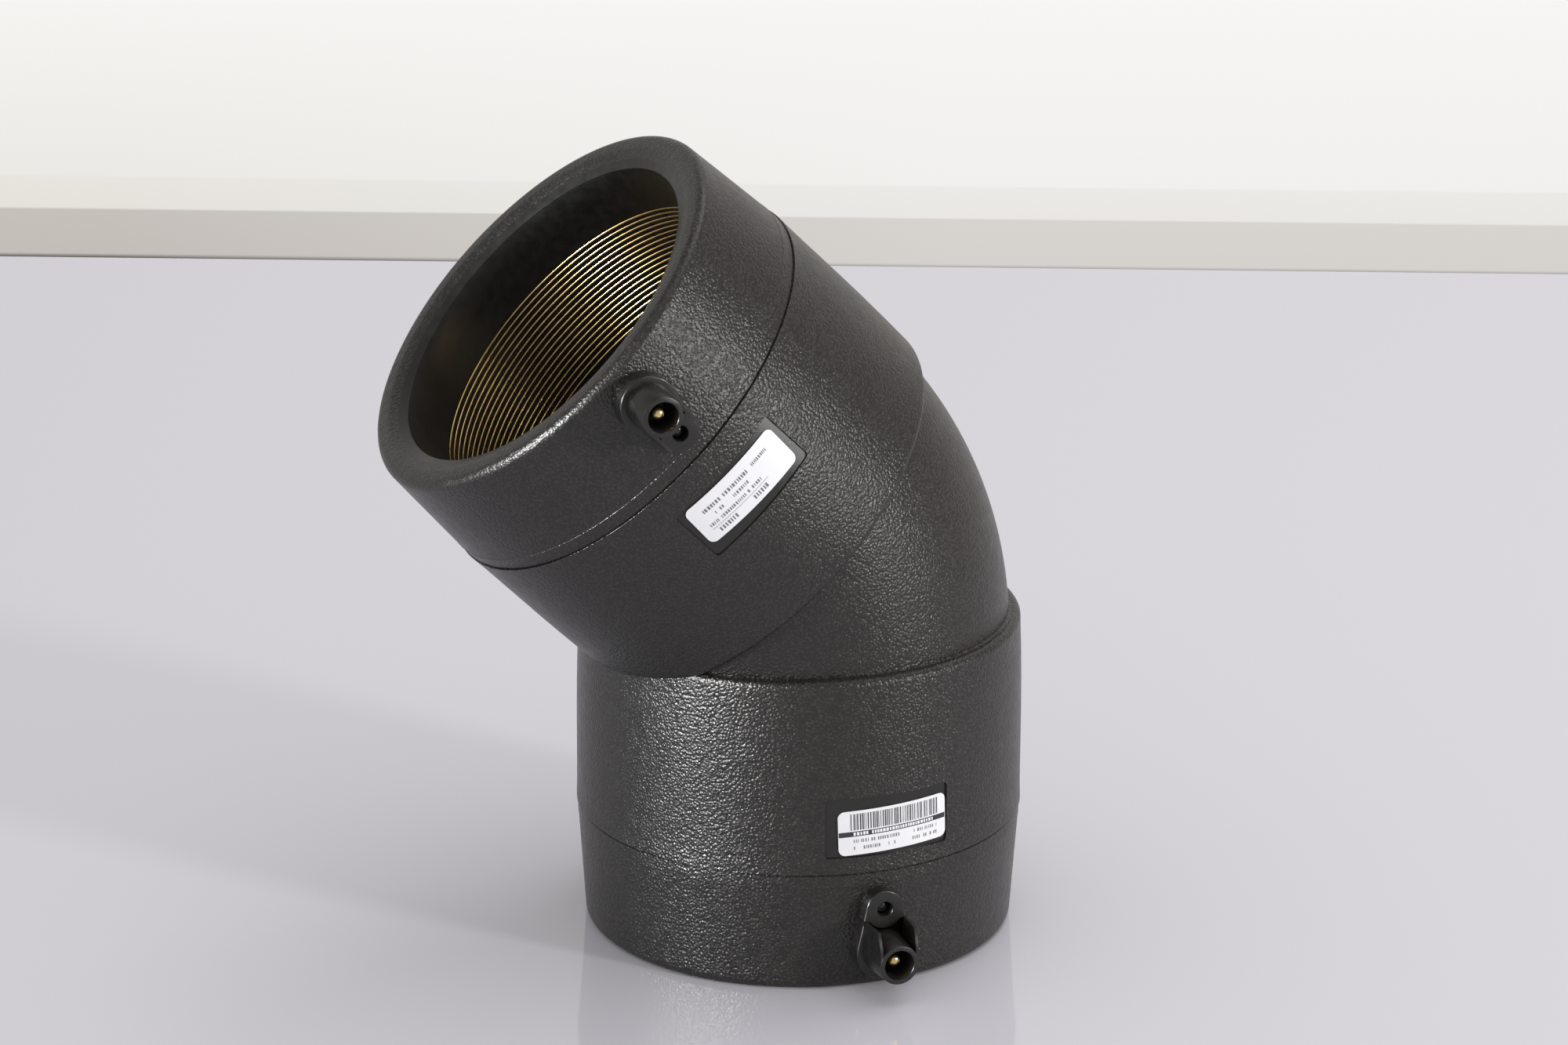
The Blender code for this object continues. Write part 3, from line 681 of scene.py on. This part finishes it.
def on_terminal(p, radius):
    """Whether a point in a socket's own frame lies on the terminal or in its holes."""
    if p.y > -60 * MM or p.z > 36 * MM or abs(p.x) > PAD_LARGE_RADIUS + MARGIN:
        return False
    to_pin = math.hypot(p.x, p.z - TERMINAL_DEPTH)
    to_indicator = math.hypot(p.x, p.z - INDICATOR_DEPTH)
    return radius > RING_RADIUS + 0.15 * MM or to_pin < 8 * MM or to_indicator < 6 * MM


def in_recess(p, radius, which):
    """Whether a point in a socket's own frame lies in the recess for the label."""
    across, depth = RECESS_PLACES[which]
    aside = abs(math.atan2(p.x, -p.y) * BODY_RADIUS - across)
    inside = aside < RECESS_SIZE[0] / 2 + MARGIN and abs(p.z - depth) < RECESS_SIZE[1] / 2 + MARGIN
    return inside and BODY_RADIUS - 2.2 * MM < radius < BODY_RADIUS - MARGIN


def finish_at(point):
    """Which finish the moulding has at a point of its surface."""
    for which, matrix in SOCKETS.items():
        p = matrix.inverted() @ point
        radius = math.hypot(p.x, p.y)
        if 0 < p.z < SOCKET_DEPTH + STOP_LENGTH and radius < BORE_RADIUS + 2.4 * MM:
            return BORE
        if p.z < RIM_FINISH_DEPTH and radius < MOUTH_RADIUS:
            return RIM
        if on_terminal(p, radius) or in_recess(p, radius, which):
            return SATIN
    return BORE if in_waterway(point) else PEBBLED


def elbow():
    finishes = {
        PEBBLED: pebbled_black("pebbled_polyethylene", 0.34, 0.18 * MM),
        RIM: pebbled_black("rim_polyethylene", 0.38, 0.12 * MM),
        SATIN: fine_black("satin_polyethylene", 0.30, 1500, 0.03 * MM),
        # The bore and lead-in are darkened to 0.8 of the satin colour: painted shade in the hollow.
        BORE: fine_black("bore_polyethylene", 0.36, 900, 0.02 * MM, 0.8),
    }
    mesh = moulding()
    mesh.name = "elbow_moulding"
    mesh.materials.clear()
    for finish in sorted(finishes):
        mesh.materials.append(finishes[finish])
    for polygon in mesh.polygons:
        polygon.material_index = finish_at(polygon.center.copy())
    settle(place("elbow_moulding", smooth(mesh, angle=32)), "elbow_body", slot="body")


# The wire


def wire_route(steps_per_turn, corner):
    """Distance along the centreline and angle round it, from pin to pin."""
    side = -math.pi / 2
    full = 2 * math.pi * TURNS
    stub = TERMINAL_DEPTH - 1.2 * MM
    start_far = CENTRELINE_LENGTH - FIRST_TURN_DEPTH - TURNS * PITCH
    steps = TURNS * steps_per_turn
    link_steps = 30
    bend = corner / COIL_RADIUS
    first = math.ceil(bend * steps_per_turn / (2 * math.pi)) + 1
    quarter = [math.radians(15 * i) for i in range(7)]
    route = [(stub, side)]
    for start in (FIRST_TURN_DEPTH, start_far):
        end = start + TURNS * PITCH
        route += [(start - corner + corner * math.sin(a), side + bend * (1 - math.cos(a))) for a in quarter]
        route += [
            (start + TURNS * PITCH * i / steps, side + full * i / steps)
            for i in range(first, steps - first + 1)
        ]
        route += [
            (end + corner - corner * math.sin(a), side + full - bend * (1 - math.cos(a)))
            for a in reversed(quarter)
        ]
        if start == FIRST_TURN_DEPTH:
            route += [(end + (start_far - end) * i / link_steps, side) for i in range(2, link_steps - 1)]
    route.append((CENTRELINE_LENGTH - stub, side))
    return route


def swept(name, route, radius, sides, coil_radius):
    """A round bar along a route of distances and angles at this radius."""
    points = [beside_centreline(d, a, coil_radius) for d, a in route]
    corners = [2 * math.pi * i / sides for i in range(sides)]
    rings = []
    for i, (point, away) in enumerate(points):
        before = points[max(i - 1, 0)][0]
        after = points[min(i + 1, len(points) - 1)][0]
        across = np.cross(after - before, away)
        across /= np.linalg.norm(across)
        rings.append([point + (away * math.cos(a) + across * math.sin(a)) * radius for a in corners])
    return loft(name, rings)


def wire():
    material = metal("wire_metal", (0.62, 0.44, 0.18), 0.29)
    route = wire_route(WIRE_STEPS_PER_TURN, 1 * MM)
    mesh = smooth(swept("winding", route, WIRE_RADIUS, WIRE_SIDES, COIL_RADIUS))
    settle(place("winding", mesh, material), "heating_wire", slot="wire")


# Pins and indicators


def domed(radius, foot, tip, dome, steps=12):
    """The profile of a round bar with a domed tip."""
    points = [(radius, foot), (radius, tip - dome)]
    for i in range(1, steps):
        a = math.pi / 2 * i / steps
        points.append((radius * math.cos(a), tip - dome + dome * math.sin(a)))
    return points


def pins_and_indicators():
    brass = metal("pin_brass", (0.86, 0.66, 0.32), 0.22)
    gloss_black = film("indicator_gloss", (0.010, 0.010, 0.010), 0.16)
    pin_foot = COIL_RADIUS + WIRE_RADIUS + 0.3 * MM
    pin_profile = domed(PIN_RADIUS, pin_foot, PIN_TIP_PLANE, 1.6 * MM)
    button_profile = domed(INDICATOR_RADIUS, INDICATOR_FOOT_PLANE, INDICATOR_TIP_PLANE, 1.5 * MM)
    for which, matrix in SOCKETS.items():
        mesh = smooth(upright("pin_" + which, pin_profile, TERMINAL_DEPTH, PIN_STEPS, matrix))
        pin = place("pin_" + which, mesh, brass)
        settle(pin, "terminal_pin_" + which, slot="pin")
        mesh = smooth(upright("indicator_" + which, button_profile, INDICATOR_DEPTH, PIN_STEPS, matrix))
        button = place("indicator_" + which, mesh, gloss_black)
        settle(button, "fusion_indicator_" + which, slot="indicator")


# Labels, with marks that spell nothing

# A mark is its left, bottom, right and top, in millimetres from the middle of the label
BAR_WIDTHS = (0.13, 0.13, 0.26, 0.4)
BAR_GAPS = (0.15, 0.15, 0.3, 0.45)
LOWER_BAND = (-18.3, -1.15, 18.3, 0.5)
UPPER_LINE = (-15.2, 3.35, 7.8, 3.5)
LOWER_LETTERS = (1.1, (0.22, 0.55), 0.34, 0.15)
HEADLINE_LETTERS = (1.5, (0.4, 0.8), 0.45, 0.0)


def dashes(seed, x0, x1, y, height, widths, gap, skip):
    """A row of short marks in the rhythm of small print. Skip is the share that is left out."""
    source = random.Random(seed)
    row = []
    x = x0
    while x < x1 - widths[0]:
        width = min(source.uniform(*widths), x1 - x)
        if source.random() > skip:
            row.append((x, y - height / 2, x + width, y + height / 2))
        x += width + source.uniform(0.7, 1.3) * gap
    return row


def bars(seed, x0, x1, y0, y1):
    """A row of upright bars in the rhythm of a bar code."""
    source = random.Random(seed)
    row = []
    x = x0
    while x < x1:
        width = source.choice(BAR_WIDTHS)
        row.append((x, y0, min(x + width, x1), y1))
        x += width + source.choice(BAR_GAPS)
    return row


def lower_rows():
    return [
        *dashes(7, -13.6, 1.5, -2.7, *LOWER_LETTERS),
        *dashes(8, 6.5, 15.0, -2.7, *LOWER_LETTERS),
        *dashes(9, -13.6, 0.0, -5.0, *LOWER_LETTERS),
        *dashes(10, 6.0, 15.0, -5.0, *LOWER_LETTERS),
    ]


def upper_rows():
    return [
        *dashes(11, -13.5, -6.0, 5.0, *HEADLINE_LETTERS),
        *dashes(12, 0.5, 7.0, 5.0, *HEADLINE_LETTERS),
        UPPER_LINE,
        *dashes(13, -15.0, 6.5, 2.0, 1.1, (0.25, 0.6), 0.35, 0.08),
        *dashes(14, -11.0, 2.5, -0.5, 1.1, (0.25, 0.6), 0.45, 0.3),
        *dashes(15, -15.0, 5.0, -3.2, 1.3, (0.35, 0.75), 0.40, 0.10),
        *dashes(16, 6.5, 13.0, -3.4, 1.1, (0.25, 0.55), 0.30, 0.0),
    ]


def printed(name, marks, which, colour, lift):
    """Marks laid on a label, as one thin piece."""
    radius = LABEL_SEAT + LABEL_THICKNESS + lift
    spot = LABEL_PLACES[which]
    sign = 1 if which == "lower" else -1
    c, s = math.cos(LABEL_TURNS[which]), math.sin(LABEL_TURNS[which])
    longest_step = 0.6
    points, faces = [], []
    for x0, y0, x1, y1 in marks:
        columns = max(1, math.ceil((x1 - x0) / longest_step))
        first = len(points)
        for i in range(columns + 1):
            x = (x0 + (x1 - x0) * i / columns) * MM * sign
            for y in (y0 * MM, y1 * MM):
                u = spot[0] + c * x - s * y
                v = spot[1] + s * x + c * y
                a = u / radius
                points.append(SOCKETS[which] @ Vector((radius * math.sin(a), -radius * math.cos(a), v)))
        for i in range(columns):
            a = first + 2 * i
            quad = (a, a + 2, a + 3, a + 1)
            faces.append(quad if sign == 1 else quad[::-1])
    settle(place(name, make_mesh(name, points, faces), colour), slot="label")


def labels():
    white = film("label_film", (0.88, 0.88, 0.90), 0.30)
    ink = film("label_ink", (0.035, 0.035, 0.040), 0.35)
    faint_ink = film("label_faint_ink", (0.18, 0.18, 0.19), 0.35)
    outline = rounded_rectangle(LABEL_SIZE, LABEL_CORNER, 10)
    for which, matrix in SOCKETS.items():
        spot, turn = LABEL_PLACES[which], LABEL_TURNS[which]
        sheet = curved_plate("film_" + which, outline, spot, turn, LABEL_SEAT, LABEL_THICKNESS, matrix)
        settle(place("film_" + which, smooth(sheet, angle=30), white), "label_" + which, slot="label")
    printed("print_bars", bars(3, -14.6, 15.4, 0.9, 6.3), "lower", ink, PRINT_LIFT)
    printed("print_band", [LOWER_BAND], "lower", ink, PRINT_LIFT)
    band_marks = dashes(5, -13.6, 14.4, -0.32, 1.05, (0.5, 0.85), 0.28, 0.03)
    printed("print_band_marks", band_marks, "lower", white, TOP_PRINT_LIFT)
    printed("print_rows_lower", lower_rows(), "lower", faint_ink, PRINT_LIFT)
    printed("print_rows_upper", upper_rows(), "upper", faint_ink, PRINT_LIFT)


# Stage
CAMERA_PLACE = Vector((-695.15 * MM, -1772.69 * MM, 794.40 * MM)) + AXIS
AZIMUTH, ELEVATION, ROLL = (math.radians(v) for v in (21.2611, 19.2432, 0.3177))
PHOTO_WIDTH = 2000  # pixels
SENSOR_WIDTH = 36
FOCAL_LENGTH = 8219.05 / PHOTO_WIDTH * SENSOR_WIDTH
TABLE_EDGE = (Vector((-57.9 * MM, 782.2 * MM, 0)) + AXIS, Vector((554.2 * MM, 529.6 * MM, 0)) + AXIS)
TABLE_SIZE = 6.0
TABLE_TOP_DROP = 0.02 * MM
LAMP_TARGET = Vector((0, 0, 0.12))
UP = Vector((0, 0, 1))

# Tones of the world: places along a way of looking, from 0 to 1, and the tone at each
BACKDROP_RISE = 0.04
BACKDROP_TONES = [
    (0.0, (0.38, 0.36, 0.35)), (0.006, (0.56, 0.54, 0.52)),
    (0.012, (0.665, 0.640, 0.615)), (0.185, (0.680, 0.655, 0.630)),
    (0.190, (0.815, 0.800, 0.775)), (0.310, (0.835, 0.820, 0.795)),
    (0.315, (0.880, 0.870, 0.850)), (1.0, (0.925, 0.915, 0.900)),
]
BACKDROP_TONES_LEFT = [
    (0.0, (0.10, 0.09, 0.08)), (0.008, (0.30, 0.28, 0.27)),
    (0.016, (0.545, 0.510, 0.480)), (0.185, (0.565, 0.530, 0.500)),
    (0.190, (0.780, 0.760, 0.715)), (0.310, (0.800, 0.780, 0.735)),
    (0.315, (0.830, 0.815, 0.780)), (1.0, (0.925, 0.910, 0.890)),
]
ROOM_TONES = [(0.0, (0.50, 0.49, 0.47)), (0.45, (0.26, 0.25, 0.24)), (1.0, (0.72, 0.70, 0.67))]
CEILING_TONES = [(0.0, (0.20, 0.19, 0.18)), (1.0, (0.22, 0.21, 0.20))]
LIGHT_TONES = [(0.0, (0.47, 0.46, 0.45)), (0.5, (0.51, 0.50, 0.49)), (1.0, (1.01, 1.00, 0.99))]


def camera():
    """The camera that took the photograph, solved from the mouths and the silhouette."""
    level = math.cos(ELEVATION)
    back = Vector((-math.sin(AZIMUTH) * level, -math.cos(AZIMUTH) * level, math.sin(ELEVATION)))
    right = Vector((math.cos(AZIMUTH), -math.sin(AZIMUTH), 0))
    up = back.cross(right)
    across = right * math.cos(ROLL) + up * math.sin(ROLL)
    upwards = up * math.cos(ROLL) - right * math.sin(ROLL)
    data = bpy.data.cameras.new("camera")
    data.sensor_width = SENSOR_WIDTH
    data.lens = FOCAL_LENGTH
    data.clip_start = 0.05
    data.clip_end = 50
    item = bpy.data.objects.new("camera", data)
    item.matrix_world = Matrix((
        (across.x, upwards.x, back.x, CAMERA_PLACE.x),
        (across.y, upwards.y, back.y, CAMERA_PLACE.y),
        (across.z, upwards.z, back.z, CAMERA_PLACE.z),
        (0, 0, 0, 1),
    ))
    bpy.context.scene.collection.objects.link(item)
    bpy.context.scene.camera = item


def direction_of(azimuth, elevation):
    """From the object: azimuth 0 is +Y and 90 degrees is +X."""
    a, e = math.radians(azimuth), math.radians(elevation)
    return Vector((math.sin(a) * math.cos(e), math.cos(a) * math.cos(e), math.sin(e)))


def area_light(name, azimuth, elevation, distance, size, power, parts=("gloss", "even")):
    """A soft box that looks at the middle of the object: a lamp for gloss and one for even light.

    The table top takes no gloss from it, so no view shows the box's mirror image there.
    """
    data = bpy.data.lights.new(name, "AREA")
    data.shape = "RECTANGLE"
    data.size, data.size_y = size
    data.energy = power
    direction = -direction_of(azimuth, elevation)
    for part in parts:
        item = bpy.data.objects.new(name + "_" + part, data)
        item.location = LAMP_TARGET - direction * distance
        item.rotation_euler = direction.to_track_quat("-Z", "Y").to_euler()
        item.visible_camera = False
        if part == "gloss":
            item.visible_diffuse = False
            item.light_linking.receiver_collection = bpy.data.collections["not_on_table_top"]
        else:
            item.visible_glossy = False
        bpy.context.scene.collection.objects.link(item)


def lamps():
    """Soft boxes above and to the right, and two on the left that show in gloss only."""
    area_light("overhead", 60, 60, 2.2, (0.8, 0.7), 6.5)
    area_light("overhead_front", 130, 78, 2.2, (1.6, 1.4), 8)
    area_light("soft_left", -103, 9, 3.0, (1.4, 1.2), 34, ("gloss",))
    area_light("strip_right", 142, 12, 3.4, (0.36, 0.56), 62)
    area_light("strip_left", -107, 9, 4.0, (1.05, 0.75), 410, ("gloss",))


def floor():
    """A pale table top whose far edge lies where the photograph shows it."""
    left, right = TABLE_EDGE
    along = (right - left).normalized()
    near = Vector((along.y, -along.x, 0))
    middle = (left + right) / 2 - UP * TABLE_TOP_DROP
    corners = [middle - along * TABLE_SIZE, middle + along * TABLE_SIZE]
    corners += [corners[1] + near * TABLE_SIZE, corners[0] + near * TABLE_SIZE]
    m = Nodes("table_top")
    sideways = m.add("ShaderNodeSeparateXYZ")
    m.link(m.place, sideways.inputs[0])
    # The colour grows lighter from left to right across the table top: a painted gradient of light over the
    # table's own pale violet-grey.
    m.colour_between(sideways.outputs[0], (0.535, 0.526, 0.578), (0.592, 0.583, 0.630), -0.7, 0.7)
    m.shader.inputs["Roughness"].default_value = 0.06
    item = place("table_top", make_mesh("table_top", corners, [(0, 3, 2, 1)]), m.material)
    group = bpy.data.collections.new("not_on_table_top")
    group.objects.link(item)
    group.collection_objects[0].light_linking.link_state = "EXCLUDE"


def world():
    """A pale studio: plain tones behind the table, a dimmer room in reflections, even light."""
    data = bpy.data.worlds.new("studio")
    bpy.context.scene.world = data
    data.use_nodes = True
    tree = data.node_tree
    tree.nodes.clear()
    output = tree.nodes.new("ShaderNodeOutputWorld")
    path = tree.nodes.new("ShaderNodeLightPath")
    direction = tree.nodes.new("ShaderNodeTexCoord").outputs["Generated"]

    def share_along(normal, low, high):
        """How far a direction leans along a normal: 0 at low, 1 at high."""
        along = tree.nodes.new("ShaderNodeVectorMath")
        along.operation = "DOT_PRODUCT"
        along.inputs[1].default_value = normal
        tree.links.new(direction, along.inputs[0])
        share = tree.nodes.new("ShaderNodeMapRange")
        tree.links.new(along.outputs["Value"], share.inputs["Value"])
        share.inputs["From Min"].default_value = low
        share.inputs["From Max"].default_value = high
        return share.outputs[0]

    def graded(normal, low, high, stops):
        """A background whose tone follows the direction's share along a normal."""
        ramp = tree.nodes.new("ShaderNodeValToRGB")
        tree.links.new(share_along(normal, low, high), ramp.inputs[0])
        elements = ramp.color_ramp.elements
        while len(elements) < len(stops):
            elements.new(0.5)
        for element, (position, tone) in zip(elements, stops):
            element.position = position
            element.color = (*tone, 1)
        background = tree.nodes.new("ShaderNodeBackground")
        tree.links.new(ramp.outputs[0], background.inputs["Color"])
        return background

    def mixed(share, first, second):
        mix = tree.nodes.new("ShaderNodeMixShader")
        tree.links.new(share, mix.inputs[0])
        tree.links.new(first.outputs[0], mix.inputs[1])
        tree.links.new(second.outputs[0], mix.inputs[2])
        return mix

    table_plane = (TABLE_EDGE[1] - CAMERA_PLACE).cross(TABLE_EDGE[0] - CAMERA_PLACE).normalized()
    seen = mixed(
        share_along(direction_of(111, 0), -0.10, 0.03),
        graded(table_plane, 0.0, BACKDROP_RISE, BACKDROP_TONES_LEFT),
        graded(table_plane, 0.0, BACKDROP_RISE, BACKDROP_TONES),
    )
    room = mixed(
        share_along(UP, 0.55, 0.85),
        graded(direction_of(21, 0), -1.0, 1.0, ROOM_TONES),
        graded(UP, 0.0, 1.0, CEILING_TONES),
    )
    lit = graded(UP, -1.0, 1.0, LIGHT_TONES)
    reflected = mixed(path.outputs["Is Glossy Ray"], lit, room)
    chosen = mixed(path.outputs["Is Camera Ray"], reflected, seen)
    tree.links.new(chosen.outputs[0], output.inputs[0])


elbow()
wire()
pins_and_indicators()
labels()
camera()
floor()
world()
lamps()
bpy.context.scene.view_settings.view_transform = "Standard"
bpy.context.scene.view_settings.look = "None"
